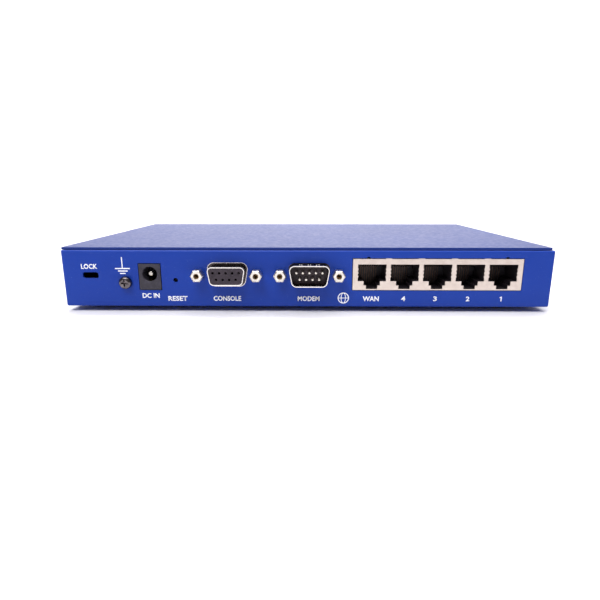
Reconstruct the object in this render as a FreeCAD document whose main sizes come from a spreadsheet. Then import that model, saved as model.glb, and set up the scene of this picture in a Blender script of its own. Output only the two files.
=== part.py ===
import FreeCAD, Part
import os
import re
import Sketcher

# Desktop firewall appliance: a flat steel case with every port on one long side.
# The port panel faces -Y, the box runs back along +Y, +X is to the right seen from the ports.
# Sizes are in millimetres.  X is measured from the middle of the port panel, Y from the outer
# face of the port panel, Z from the underside of the steel tray; place() moves every piece so
# that the origin ends at the bottom centre of the whole object.

V = FreeCAD.Vector

SIZES = {
    # steel tray and lid
    "tray_width": 210.4,
    "tray_depth": 127.0,
    "tray_height": 24.6,
    "sheet": 1.0,
    "corner_radius": 0.9,
    "bend_radius": 0.7,
    "flange": 3.0,
    "lid_width": 209.0,
    "lid_overhang": -0.3,
    "lid_thickness": 1.0,
    "lid_gap": 0.2,
    "lid_shift": -0.5,
    "vent_length": 11.0,
    "vent_width": 2.2,
    "vent_pitch": 7.0,
    # feet and the screws that hold the lid from below
    "foot_height": 2.4,
    "foot_radius": 6.0,
    "foot_reach": 88.0,
    "foot_rear": 15.0,
    "foot_front": 112.0,
    "post_reach": 97.5,
    "post_rear": 22.0,
    "post_front": 105.0,
    "post_flats": 5.5,
    "screw_radius": 1.45,
    "screw_head": 2.8,
    "screw_head_height": 1.8,
    # circuit board
    "board_left": -92.5,
    "board_right": 93.3,
    "board_rear": 2.0,
    "board_front": 122.0,
    "board_bottom": 5.9,
    "board_thickness": 1.6,
    "board_screw_pitch": 85.0,
    "board_screw_rear": 26.0,
    "board_screw_front": 112.0,
    # security slot, ground screw, reset
    "slot_x": -93.15,
    "slot_z": 13.7,
    "slot_width": 6.8,
    "slot_height": 2.7,
    "ground_x": -78.1,
    "ground_z": 10.6,
    "ground_head": 2.7,
    "reset_x": -56.5,
    "reset_z": 11.6,
    "reset_hole": 1.0,
    "plunger_radius": 1.7,
    "plunger_tip": 2.6,
    # direct current inlet
    "jack_x": -67.5,
    "jack_width": 9.3,
    "jack_height": 11.2,
    "jack_depth": 14.0,
    "jack_proud": 0.2,
    "bore_z": 14.3,
    "bore_radius": 3.15,
    "bore_depth": 9.5,
    "pin_radius": 1.05,
    "pin_setback": 1.2,
    # nine way D connectors
    "console_x": -33.95,
    "modem_x": 1.2,
    "dsub_z": 14.15,
    "jackscrew_spacing": 24.99,
    "jackscrew_flats": 4.76,
    "jackscrew_length": 4.8,
    "flange_width": 30.8,
    "flange_height": 12.5,
    "shell_reach": 4.95,
    "shell_wall": 0.4,
    "contact_pitch": 2.74,
    "row_offset": 1.42,
    "console_width": 16.33,
    "console_height": 7.9,
    "console_cut_width": 18.0,
    "console_cut_height": 10.0,
    "modem_width": 17.8,
    "modem_height": 9.15,
    "modem_cut_width": 18.8,
    "modem_cut_height": 10.1,
    # five way modular jack block
    "block_x": 56.0,
    "block_width": 72.3,
    "block_height": 13.5,
    "block_depth": 15.5,
    "port_pitch": 13.97,
    "port_width": 12.15,
    "port_floor": 3.85,
    "port_top": 11.15,
    # indicator lamps
    "lamp_first": -60.0,
    "lamp_pitch": 12.0,
    "lamp_z": 12.0,
    "lamp_radius": 1.45,
    "lamp_tip": 127.8,
}

doc = FreeCAD.newDocument("firewall_appliance")
sheet = doc.addObject("Spreadsheet::Sheet", "sizes")
for row, (alias, size) in enumerate(SIZES.items(), 1):
    sheet.set("A%d" % row, alias)
    sheet.set("B%d" % row, str(size))
    sheet.setAlias("B%d" % row, alias)
doc.recompute()

BOARD_TOP = "board_bottom + board_thickness"
LID_BOTTOM = "tray_height + lid_gap"
ORIGIN_Y = "(shell_reach - lamp_tip) / 2"


def bind(text):
    """The expression with every size name pointed at the spreadsheet."""
    return re.sub(r"[a-z_]+", lambda word: point_at_sheet(word.group()), str(text))


def point_at_sheet(word):
    if word in SIZES:
        return "sizes." + word
    return word


def value(text):
    return float(sheet.evalExpression(bind(text)))


def new_body(label):
    body = doc.addObject("PartDesign::Body", label)
    body.Label = label
    return body


def place(body, x="0", z="0"):
    """Moves a body from its own coordinates to the frame of the whole object."""
    body.setExpression("Placement.Base.x", bind(x))
    body.setExpression("Placement.Base.y", bind(ORIGIN_Y))
    body.setExpression("Placement.Base.z", bind("foot_height + " + z))


def sketch_on(body, plane, level="0"):
    """An empty sketch parallel to one of the body's planes, at a level along its world axis."""
    sketch = body.newObject("Sketcher::SketchObject", "profile")
    base = next(item for item in body.Origin.OriginFeatures if item.Role == plane + "_Plane")
    sketch.AttachmentSupport = [(base, "")]
    sketch.MapMode = "FlatFace"
    sign = "-" if plane == "XZ" else ""
    sketch.setExpression("AttachmentOffset.Base.z", "%s(%s)" % (sign, bind(level)))
    return sketch


def pin_point(sketch, geometry, end, at):
    for kind, text in zip(("DistanceX", "DistanceY"), at):
        rule = Sketcher.Constraint(kind, -1, 1, geometry, end, value(text))
        number = sketch.addConstraint(rule)
        sketch.setExpression("Constraints[%d]" % number, bind(text))


def polygon(sketch, points):
    first = sketch.GeometryCount
    corners = [V(value(x), value(y), 0) for x, y in points]
    count = len(corners)
    for index in range(count):
        sketch.addGeometry(Part.LineSegment(corners[index], corners[(index + 1) % count]))
    for index in range(count):
        following = first + (index + 1) % count
        sketch.addConstraint(Sketcher.Constraint("Coincident", first + index, 2, following, 1))
        pin_point(sketch, first + index, 1, points[index])


def circle(sketch, x, y, radius):
    shape = Part.Circle(V(value(x), value(y), 0), V(0, 0, 1), value(radius))
    index = sketch.addGeometry(shape)
    pin_point(sketch, index, 3, (x, y))
    number = sketch.addConstraint(Sketcher.Constraint("Radius", index, value(radius)))
    sketch.setExpression("Constraints[%d]" % number, bind(radius))


def box_corners(x, y, width, height):
    """Corners of a rectangle about its middle."""
    left, right = "%s - (%s) / 2" % (x, width), "%s + (%s) / 2" % (x, width)
    low, high = "%s - (%s) / 2" % (y, height), "%s + (%s) / 2" % (y, height)
    return [(left, low), (right, low), (right, high), (left, high)]


def span_corners(left, right, low, high):
    """Corners of a rectangle given by its four sides."""
    return [(left, low), (right, low), (right, high), (left, high)]


def hexagon_corners(x, y, flats):
    corners = []
    for turn in range(0, 360, 60):
        across = "%s + (%s) / sqrt(3) * cos(%d deg)" % (x, flats, turn)
        upward = "%s + (%s) / sqrt(3) * sin(%d deg)" % (y, flats, turn)
        corners.append((across, upward))
    return corners


def cross_corners(x, y, arm, half):
    """Outline of a cross recess: arms of length arm and width twice half."""
    steps = [(-arm, -half), (-half, -half), (-half, -arm), (half, -arm), (half, -half), (arm, -half)]
    steps += [(-a, -b) for a, b in steps]
    return [("%s + %s" % (x, a), "%s + %s" % (y, b)) for a, b in steps]


def d_corners(width, height):
    """D outline with its wide side up and sides that lean in by ten degrees."""
    foot = "((%s) / 2 - (%s) * tan(10 deg))" % (width, height)
    half = "(%s) / 2" % width
    rise = "(%s) / 2" % height
    return [("-" + foot, "-" + rise), (foot, "-" + rise), (half, rise), ("-" + half, rise)]


def pad(body, sketch, length, reverse=False, both=False):
    """Adds material along the sketch normal: +Z, +X or -Y."""
    feature = body.newObject("PartDesign::Pad", "pad")
    return set_depth(feature, sketch, length, reverse, both)


def pocket(body, sketch, length, reverse=False, both=False):
    """Cuts against the sketch normal: -Z, -X or +Y."""
    feature = body.newObject("PartDesign::Pocket", "pocket")
    return set_depth(feature, sketch, length, reverse, both)


def set_depth(feature, sketch, length, reverse, both):
    feature.Profile = sketch
    feature.setExpression("Length", bind(length))
    feature.Reversed = reverse
    feature.Midplane = both
    return feature


def row_of(body, originals, axis, count, length):
    """Repeats features, or the whole body where no feature is named, along one axis."""
    pattern = body.newObject("PartDesign::LinearPattern", "row")
    if originals:
        pattern.Originals = originals
    else:
        pattern.TransformMode = "Whole shape"
    line = next(item for item in body.Origin.OriginFeatures if item.Role == axis + "_Axis")
    pattern.Direction = (line, [""])
    pattern.Occurrences = count
    pattern.setExpression("Length", bind(length))
    body.Tip = pattern
    return pattern


def straight_along(edge, axis):
    if edge.Curve.TypeId != "Part::GeomLine":
        return False
    return abs(edge.tangentAt(edge.FirstParameter).dot(axis)) > 0.999


def blend(body, radius, chosen, kind="Fillet"):
    """Rounds or bevels the edges of the body that the test picks."""
    doc.recompute()
    tip = body.Tip
    names = []
    for number, edge in enumerate(tip.Shape.Edges, 1):
        if chosen(edge, edge.CenterOfMass):
            names.append("Edge%d" % number)
    if not names:
        raise RuntimeError("no edge to blend on %s" % body.Label)
    feature = body.newObject("PartDesign::" + kind, kind.lower())
    feature.Base = (tip, names)
    feature.setExpression("Radius" if kind == "Fillet" else "Size", bind(radius))
    return feature


def round_corners(body, radius, axis, corners):
    """Fillets the straight edges along an axis that pass through the given corners."""
    direction = {"X": V(1, 0, 0), "Y": V(0, 1, 0), "Z": V(0, 0, 1)}[axis]
    spots = [(value(a), value(b)) for a, b in corners]

    def chosen(edge, centre):
        if not straight_along(edge, direction):
            return False
        flat = {"X": (centre.y, centre.z), "Y": (centre.x, centre.z), "Z": (centre.x, centre.y)}[axis]
        return any(abs(flat[0] - a) < 0.02 and abs(flat[1] - b) < 0.02 for a, b in spots)

    return blend(body, radius, chosen)


def round_level(body, radius, axis, level, kind="Fillet"):
    """Fillets or bevels every edge that lies flat at one level along an axis."""
    height = value(level)

    def chosen(edge, centre):
        box = edge.BoundBox
        low, high = {"Y": (box.YMin, box.YMax), "Z": (box.ZMin, box.ZMax)}[axis]
        return abs(low - height) < 0.01 and abs(high - height) < 0.01

    return blend(body, radius, chosen, kind)


# ---- case -------------------------------------------------------------------------------

POSTS = [(side + "post_reach + lid_shift", depth) for side in ("-", "") for depth in
         ("post_rear", "post_front")]
FEET = [(side + "foot_reach", depth) for side in ("-", "") for depth in ("foot_rear", "foot_front")]
BOARD_SCREWS = [("1 + %d * board_screw_pitch" % step, depth) for step in (-1, 0, 1) for depth in
                ("board_screw_rear", "board_screw_front")]
JACKSCREWS = [("-jackscrew_spacing / 2", "0"), ("jackscrew_spacing / 2", "0")]


def shifted(corners, x, z):
    return [("%s + %s" % (a, x), "%s + %s" % (b, z)) for a, b in corners]


def case_base():
    """Tray with folded rim, port cut-outs, lamp holes, side vents and lid screw holes."""
    body = new_body("case_base")
    outline = span_corners("-tray_width / 2", "tray_width / 2", "0", "tray_depth")
    base = sketch_on(body, "XY")
    polygon(base, outline)
    pad(body, base, "tray_height")
    round_corners(body, "corner_radius", "Z", outline)
    round_level(body, "bend_radius", "Z", "0")
    round_level(body, "bend_radius", "Z", "tray_height")
    mouth = sketch_on(body, "XY", "tray_height")
    polygon(mouth, span_corners("-tray_width / 2 + flange", "tray_width / 2 - flange",
                                "flange", "tray_depth - flange"))
    pocket(body, mouth, "tray_height - sheet")
    cavity = sketch_on(body, "XY", "sheet")
    polygon(cavity, span_corners("-tray_width / 2 + sheet", "tray_width / 2 - sheet",
                                 "sheet", "tray_depth - sheet"))
    pocket(body, cavity, "tray_height - 2 * sheet", reverse=True)
    port_cutouts(body)
    lamps = sketch_on(body, "XZ", "tray_depth")
    for step in range(10):
        circle(lamps, "lamp_first + %d * lamp_pitch" % step, "lamp_z", "lamp_radius + 0.3")
    pocket(body, lamps, "sheet * 1.5", reverse=True)
    holes = sketch_on(body, "XY")
    for x, y in POSTS:
        circle(holes, x, y, "screw_radius + 0.3")
    pocket(body, holes, "sheet * 1.5", reverse=True)
    side_vents(body)
    place(body)


def port_cutouts(body):
    """Everything that is punched out of the port panel."""
    slot = box_corners("slot_x", "slot_z", "slot_width", "slot_height")
    console = shifted(d_corners("console_cut_width", "console_cut_height"), "console_x", "dsub_z")
    modem = shifted(d_corners("modem_cut_width", "modem_cut_height"), "modem_x", "dsub_z")
    panel = sketch_on(body, "XZ")
    polygon(panel, slot)
    polygon(panel, console)
    polygon(panel, modem)
    circle(panel, "ground_x", "ground_z", "screw_radius + 0.3")
    circle(panel, "reset_x", "reset_z", "reset_hole")
    for middle in ("console_x", "modem_x"):
        for side in ("-", "+"):
            circle(panel, "%s %s jackscrew_spacing / 2" % (middle, side), "dsub_z", "1.6")
    polygon(panel, span_corners("jack_x - jack_width / 2 - 0.3", "jack_x + jack_width / 2 + 0.3",
                                BOARD_TOP + " - 0.3", BOARD_TOP + " + jack_height + 0.3"))
    top = BOARD_TOP + " + block_height + 0.3"
    left, right = "block_x - block_width / 2 - 0.3", "block_x + block_width / 2 + 0.3"
    outline = [(left, BOARD_TOP + " - 0.3"), (right, BOARD_TOP + " - 0.3"), (right, top)]
    for middle in ("block_x + 29.25", "block_x - 29.6"):
        outline += [(middle + " + 0.9", top), (middle + " + 0.5", top + " + 0.55"),
                    (middle + " - 0.5", top + " + 0.55"), (middle + " - 0.9", top)]
    polygon(panel, outline + [(left, top)])
    pocket(body, panel, "sheet * 1.5")
    round_corners(body, "0.9", "Y", slot)
    round_corners(body, "2.6", "Y", console + modem)


def side_vents(body):
    """Matching rows of upright slots through both side walls."""
    vents = sketch_on(body, "YZ", "-tray_width / 2")
    corners = []
    for step in range(9):
        middle = "tray_depth / 2 + %d * vent_pitch" % (step - 4)
        slot = box_corners(middle, "tray_height / 2", "vent_width", "vent_length")
        polygon(vents, slot)
        corners += slot
    pocket(body, vents, "tray_width", reverse=True)
    round_corners(body, "vent_width * 0.45", "X", corners)


def top_cover():
    """Flat lid that covers the rim of the tray."""
    body = new_body("top_cover")
    outline = span_corners("lid_shift - lid_width / 2", "lid_shift + lid_width / 2",
                           "-lid_overhang", "tray_depth + lid_overhang")
    base = sketch_on(body, "XY", LID_BOTTOM)
    polygon(base, outline)
    pad(body, base, "lid_thickness")
    round_corners(body, "corner_radius", "Z", outline)
    round_level(body, "lid_thickness * 0.3", "Z", LID_BOTTOM + " + lid_thickness")
    place(body)


def cover_posts():
    """Hexagonal posts fixed to the lid that reach the floor of the tray."""
    body = new_body("cover_posts")
    base = sketch_on(body, "XY", "sheet")
    for x, y in POSTS:
        polygon(base, hexagon_corners(x, y, "post_flats"))
    pad(body, base, LID_BOTTOM + " - sheet")
    bores = sketch_on(body, "XY", "sheet")
    for x, y in POSTS:
        circle(bores, x, y, "screw_radius + 0.05")
    pocket(body, bores, "10", reverse=True)
    place(body)


def screws_down(label, places, level, head, shank, recess):
    """Pan head screws with a cross recess, heads up from a level and shanks down from it."""
    body = new_body(label)
    heads = sketch_on(body, "XY", level)
    shanks = sketch_on(body, "XY", level)
    for x, y in places:
        circle(heads, x, y, "screw_head")
        circle(shanks, x, y, shank)
    upward = not head.startswith("-")
    height = head.lstrip("-")
    pad(body, heads, height, reverse=not upward)
    crown = "%s %s %s" % (level, "+" if upward else "-", height)
    round_level(body, "0.6", "Z", crown)
    pad(body, shanks, recess[1], reverse=upward)
    crosses = sketch_on(body, "XY", crown)
    for x, y in places:
        polygon(crosses, cross_corners(x, y, 1.5, 0.32))
    pocket(body, crosses, recess[0], reverse=not upward)
    place(body)


def rubber_feet():
    body = new_body("rubber_feet")
    base = sketch_on(body, "XY")
    for x, y in FEET:
        circle(base, x, y, "foot_radius")
    pad(body, base, "foot_height", reverse=True)
    round_level(body, "foot_height / 4", "Z", "-foot_height")
    place(body)


# ---- circuit board and its fixings ---------------------------------------------------------


def circuit_board():
    body = new_body("circuit_board")
    base = sketch_on(body, "XY", "board_bottom")
    polygon(base, span_corners("board_left", "board_right", "board_rear", "board_front"))
    pad(body, base, "board_thickness")
    holes = sketch_on(body, "XY", BOARD_TOP)
    for x, y in BOARD_SCREWS:
        circle(holes, x, y, "screw_radius + 0.2")
    pocket(body, holes, "board_thickness * 1.2")
    place(body)


def board_posts():
    body = new_body("board_posts")
    base = sketch_on(body, "XY", "sheet")
    for x, y in BOARD_SCREWS:
        polygon(base, hexagon_corners(x, y, "post_flats"))
    pad(body, base, "board_bottom - sheet")
    bores = sketch_on(body, "XY", "board_bottom")
    for x, y in BOARD_SCREWS:
        circle(bores, x, y, "screw_radius + 0.05")
    pocket(body, bores, "4.2")
    place(body)


def ground_screw():
    """Protective earth screw in the port panel."""
    body = new_body("ground_screw")
    head = sketch_on(body, "XZ")
    circle(head, "ground_x", "ground_z", "ground_head")
    pad(body, head, "ground_head * 0.8")
    round_level(body, "ground_head * 0.45", "Y", "-ground_head * 0.8")
    shank = sketch_on(body, "XZ")
    circle(shank, "ground_x", "ground_z", "screw_radius")
    pad(body, shank, "6.5", reverse=True)
    recess = sketch_on(body, "XZ", "-ground_head * 0.8")
    polygon(recess, cross_corners("ground_x", "ground_z", 1.45, 0.34))
    pocket(body, recess, "1.3")
    place(body)


def ground_nut():
    body = new_body("ground_nut")
    base = sketch_on(body, "XZ", "sheet")
    polygon(base, hexagon_corners("ground_x", "ground_z", "post_flats"))
    circle(base, "ground_x", "ground_z", "screw_radius + 0.05")
    pad(body, base, "2.4", reverse=True)
    place(body)


# ---- direct current inlet ----------------------------------------------------------------


def dc_jack_body():
    """Moulded block with a round socket and a channel for the sleeve contact under it."""
    body = new_body("dc_jack_body")
    outline = span_corners("jack_x - jack_width / 2", "jack_x + jack_width / 2",
                           BOARD_TOP, BOARD_TOP + " + jack_height")
    face = sketch_on(body, "XZ", "-jack_proud")
    polygon(face, outline)
    pad(body, face, "jack_proud + jack_depth", reverse=True)
    round_corners(body, "0.3", "Y", outline)
    bore = sketch_on(body, "XZ", "-jack_proud")
    circle(bore, "jack_x", "bore_z", "bore_radius")
    pocket(body, bore, "jack_proud + bore_depth")
    round_level_bore(body)
    hole = sketch_on(body, "XZ", "bore_depth - 0.5")
    circle(hole, "jack_x", "bore_z", "pin_radius * 0.8 + 0.02")
    pocket(body, hole, "jack_depth")
    channel = sketch_on(body, "YZ", "jack_x")
    low = "bore_z - bore_radius - 1"
    polygon(channel, [("0.8", low), ("10.9", low), ("10.9", BOARD_TOP), ("11.6", BOARD_TOP),
                      ("11.6", low + " + 1.6"), ("0.8", low + " + 1.6")])
    pocket(body, channel, "3", both=True)
    place(body)


def round_level_bore(body):
    """Breaks the sharp lip of the socket."""
    radius = value("bore_radius")
    front = value("-jack_proud")

    def chosen(edge, centre):
        if edge.Curve.TypeId != "Part::GeomCircle" or abs(edge.Curve.Radius - radius) > 0.01:
            return False
        return abs(edge.Curve.Center.y - front) < 0.01

    return blend(body, "0.3", chosen)


def dc_jack_pin():
    body = new_body("dc_jack_pin")
    pin = sketch_on(body, "XZ", "pin_setback")
    circle(pin, "jack_x", "bore_z", "pin_radius")
    pad(body, pin, "bore_depth - pin_setback", reverse=True)
    round_level(body, "pin_radius * 0.4", "Y", "pin_setback")
    root = sketch_on(body, "XZ", "bore_depth")
    circle(root, "jack_x", "bore_z", "pin_radius * 0.8")
    pad(body, root, "jack_depth - bore_depth", reverse=True)
    tail = sketch_on(body, "XZ", "jack_depth")
    polygon(tail, span_corners("jack_x - 1.4", "jack_x + 1.4", BOARD_TOP, "bore_z + 1.4"))
    pad(body, tail, "0.5", reverse=True)
    place(body)


def dc_jack_contact():
    """Sprung leaf that touches the sleeve of the plug and runs down to the board."""
    body = new_body("dc_jack_contact")
    leaf = sketch_on(body, "YZ", "jack_x")
    low = "bore_z - bore_radius - 0.75"
    polygon(leaf, [("1.2", low), ("4.2", low + " + 0.85"), ("7.5", low), ("11.1", low),
                   ("11.1", BOARD_TOP), ("11.4", BOARD_TOP), ("11.4", low + " + 0.3"),
                   ("7.5", low + " + 0.3"), ("4.2", low + " + 1.15"), ("1.2", low + " + 0.3")])
    pad(body, leaf, "2.4", both=True)
    place(body)


# ---- reset switch ------------------------------------------------------------------------


def reset_switch_body():
    """Case of the push switch, with the room its plunger moves in."""
    body = new_body("reset_switch_body")
    block = sketch_on(body, "XZ", "4.4")
    polygon(block, span_corners("reset_x - 3.1", "reset_x + 3.1", BOARD_TOP, "reset_z + 3.1"))
    pad(body, block, "3.6", reverse=True)
    mouth = sketch_on(body, "XZ", "4.4")
    circle(mouth, "reset_x", "reset_z", "plunger_radius + 0.3")
    pocket(body, mouth, "1")
    room = sketch_on(body, "XZ", "5.1")
    circle(room, "reset_x", "reset_z", "plunger_radius + 0.9")
    pocket(body, room, "2.1")
    place(body)


def reset_bracket():
    body = new_body("reset_bracket")
    strap = sketch_on(body, "XZ", "4.6")
    polygon(strap, [("reset_x - 3.4", BOARD_TOP), ("reset_x - 3.1", BOARD_TOP),
                    ("reset_x - 3.1", "reset_z + 3.1"), ("reset_x + 3.1", "reset_z + 3.1"),
                    ("reset_x + 3.1", BOARD_TOP), ("reset_x + 3.4", BOARD_TOP),
                    ("reset_x + 3.4", "reset_z + 3.4"), ("reset_x - 3.4", "reset_z + 3.4")])
    pad(body, strap, "3.2", reverse=True)
    place(body)


def reset_plunger():
    """Recessed button: reached through the pinhole, it slides into the switch."""
    body = new_body("reset_plunger")
    stem = sketch_on(body, "XZ", "plunger_tip")
    circle(stem, "reset_x", "reset_z", "plunger_radius")
    pad(body, stem, "5.2 - plunger_tip", reverse=True)
    round_level(body, "0.4", "Y", "plunger_tip")
    collar = sketch_on(body, "XZ", "5.2")
    circle(collar, "reset_x", "reset_z", "plunger_radius + 0.55")
    pad(body, collar, "0.5", reverse=True)
    place(body)


def reset_dome():
    body = new_body("reset_dome")
    rim = sketch_on(body, "XZ", "7.2")
    circle(rim, "reset_x", "reset_z", "plunger_radius + 0.7")
    pad(body, rim, "0.3")
    crown = sketch_on(body, "XZ", "6.9")
    circle(crown, "reset_x", "reset_z", "plunger_radius - 0.5")
    pad(body, crown, "0.75")
    round_level(body, "0.3", "Y", "6.15")
    place(body)


# ---- nine way D connectors -----------------------------------------------------------------


def contact_places():
    """Five contacts in the upper row and four below it, about the middle of the connector."""
    upper = [("%d * contact_pitch" % step, "row_offset") for step in (-2, -1, 0, 1, 2)]
    lower = [("%.1f * contact_pitch" % step, "-row_offset") for step in (-1.5, -0.5, 0.5, 1.5)]
    return upper + lower


def dsub_flange(body, level, thickness):
    """Rectangular flange with its two screw holes."""
    outline = box_corners("0", "0", "flange_width", "flange_height")
    flange = sketch_on(body, "XZ", level)
    polygon(flange, outline)
    for x, z in JACKSCREWS:
        circle(flange, x, z, "1.55")
    pad(body, flange, thickness, reverse=True)
    round_corners(body, "1.5", "Y", outline)


def dsub_shell(label, middle, width, height, radius, dimples):
    """Drawn steel shell: flange behind the panel, D shaped collar through it."""
    body = new_body(label)
    outline = d_corners(width, height)
    inside = d_corners(width + " - 2 * shell_wall", height + " - 2 * shell_wall")
    collar = sketch_on(body, "XZ", "-shell_reach")
    polygon(collar, outline)
    pad(body, collar, "shell_reach + sheet + 0.1", reverse=True)
    dsub_flange(body, "sheet", "0.5")
    bore = sketch_on(body, "XZ", "-shell_reach")
    polygon(bore, inside)
    pocket(body, bore, "shell_reach + sheet + 1")
    round_corners(body, radius + " - shell_wall", "Y", inside)
    round_corners(body, radius, "Y", outline)
    if dimples:
        pits = sketch_on(body, "XY", height + " / 2")
        for step in (-1, 0, 1):
            for side in ("-", "+"):
                circle(pits, "%d * 3.6 %s 0.5" % (step, side), "-shell_reach / 2", "0.32")
        pocket(body, pits, "shell_wall / 2")
    place(body, middle, "dsub_z")


def dsub_insulator(label, middle, size, face, radius, holes):
    """Moulded block inside the shell that carries the contacts down to the board."""
    width, height = size
    body = new_body(label)
    outline = d_corners(width + " - 2 * shell_wall - 0.1", height + " - 2 * shell_wall - 0.1")
    front = sketch_on(body, "XZ", face)
    polygon(front, outline)
    pad(body, front, "sheet + 0.6 - (%s)" % face, reverse=True)
    round_corners(body, radius, "Y", outline)
    dsub_flange(body, "sheet + 0.5", "3")
    core = sketch_on(body, "XZ", "sheet + 3.4")
    polygon(core, box_corners("0", "0", "17", "8.4"))
    pad(body, core, "9 - sheet - 3.4", reverse=True)
    for level, hole, depth in holes:
        row = sketch_on(body, "XZ", level)
        for x, z in contact_places():
            circle(row, x, z, hole)
        pocket(body, row, depth)
    place(body, middle, "dsub_z")


def dsub_leads(body, half):
    """Right angled tails of the contacts, two rows deep, each of width twice half."""
    foot = BOARD_TOP + " - dsub_z"
    for level, row in (("11.6", contact_places()[:5]), ("9.6", contact_places()[5:])):
        tails = sketch_on(body, "XZ", level)
        for x, z in row:
            polygon(tails, span_corners("%s - %s" % (x, half), "%s + %s" % (x, half), foot,
                                        "%s + %s" % (z, half)))
        pad(body, tails, "0.6", reverse=True)


def console_contacts():
    """Nine tubes that take the pins of the console cable."""
    body = new_body("console_contacts")
    tubes = sketch_on(body, "XZ", "-3.85")
    stems = sketch_on(body, "XZ", "3")
    bores = sketch_on(body, "XZ", "-3.85")
    long_stems = sketch_on(body, "XZ", "3")
    for x, z in contact_places():
        circle(tubes, x, z, "0.77")
        circle(bores, x, z, "0.52")
    for x, z in contact_places()[:5]:
        circle(long_stems, x, z, "0.33")
    for x, z in contact_places()[5:]:
        circle(stems, x, z, "0.33")
    pad(body, tubes, "6.85", reverse=True)
    pocket(body, bores, "6")
    pad(body, long_stems, "8.9", reverse=True)
    pad(body, stems, "6.9", reverse=True)
    dsub_leads(body, 0.36)
    place(body, "console_x", "dsub_z")


def modem_pins():
    """Nine round pins standing in the open shell."""
    body = new_body("modem_pins")
    upper = sketch_on(body, "XZ", "-shell_reach + 0.55")
    lower = sketch_on(body, "XZ", "-shell_reach + 0.55")
    for x, z in contact_places()[:5]:
        circle(upper, x, z, "0.5")
    for x, z in contact_places()[5:]:
        circle(lower, x, z, "0.5")
    pad(body, upper, "shell_reach - 0.55 + 11.9", reverse=True)
    pad(body, lower, "shell_reach - 0.55 + 9.9", reverse=True)
    round_level(body, "0.24", "Y", "-shell_reach + 0.55")
    dsub_leads(body, 0.54)
    place(body, "modem_x", "dsub_z")


def dsub_jackscrews(label, middle):
    """Hexagonal jackscrews that clamp the connector to the panel and take the cable's screws."""
    body = new_body(label)
    heads = sketch_on(body, "XZ")
    shanks = sketch_on(body, "XZ")
    bores = sketch_on(body, "XZ", "-jackscrew_length")
    for x, z in JACKSCREWS:
        polygon(heads, hexagon_corners(x, z, "jackscrew_flats"))
        circle(shanks, x, z, "1.38")
        circle(bores, x, z, "1.2")
    pad(body, heads, "jackscrew_length")
    round_level(body, "0.35", "Y", "-jackscrew_length", "Chamfer")
    pad(body, shanks, "7.4", reverse=True)
    pocket(body, bores, "jackscrew_length + 1")
    place(body, middle, "dsub_z")


def dsub_bracket(label, middle):
    """Angle pieces with threaded bosses that tie the connector to the board."""
    body = new_body(label)
    foot = BOARD_TOP + " - dsub_z"
    plates = sketch_on(body, "XZ", "sheet + 3.5")
    soles = sketch_on(body, "XZ", "sheet + 3.5")
    bosses = sketch_on(body, "XZ", "sheet + 3.5")
    for x, z in JACKSCREWS:
        polygon(plates, span_corners(x + " - 2.9", x + " + 2.9", foot, "4"))
        circle(plates, x, z, "1.43")
        polygon(soles, span_corners(x + " - 2.9", x + " + 2.9", foot, foot + " + 0.8"))
        circle(bosses, x, z, "2.4")
        circle(bosses, x, z, "1.43")
    pad(body, plates, "0.8", reverse=True)
    pad(body, soles, "8", reverse=True)
    pad(body, bosses, "3.2", reverse=True)
    place(body, middle, "dsub_z")


# ---- five way modular jack block ------------------------------------------------------------


def port_outline():
    """Opening of one port: plug mouth with sprung nibs at its sides, stepped latch way below."""
    half = "port_width / 2"
    right = [("2.45", "0.45"), ("2.45", "2"), ("3.53", "2"), ("3.53", "port_floor"),
             (half, "port_floor")]
    for level in (5.4, 7.0, 8.6):
        right += [(half, "%s" % level), (half + " - 0.22", "%s + 0.15" % level),
                  (half + " - 0.22", "%s + 0.75" % level), (half, "%s + 0.9" % level)]
    right.append((half, "port_top"))
    left = [("-(%s)" % x, z) for x, z in reversed(right)]
    return [("%s - 2 * port_pitch" % x, z) for x, z in right + left]


def rj45_shield():
    """Tinned steel screen round the five ports, open towards the board."""
    body = new_body("rj45_shield")
    face = sketch_on(body, "XZ")
    polygon(face, span_corners("-block_width / 2", "block_width / 2", "0", "block_height"))
    pad(body, face, "block_depth", reverse=True)
    inside = sketch_on(body, "XY")
    polygon(inside, span_corners("-block_width / 2 + 0.25", "block_width / 2 - 0.25",
                                 "0.4", "block_depth - 0.25"))
    pocket(body, inside, "block_height - 0.25", reverse=True)
    port = sketch_on(body, "XZ")
    polygon(port, port_outline())
    cut = pocket(body, port, "0.8")
    row_of(body, [cut], "X", 5, "4 * port_pitch")
    tab = sketch_on(body, "XZ")
    polygon(tab, span_corners("-1.5 * port_pitch - 1.3", "-1.5 * port_pitch + 1.3",
                              "block_height - 0.05", "block_height + 0.22"))
    finger = pad(body, tab, "2", reverse=True)
    row_of(body, [finger], "X", 4, "3 * port_pitch")
    place(body, "block_x", BOARD_TOP)


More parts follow.
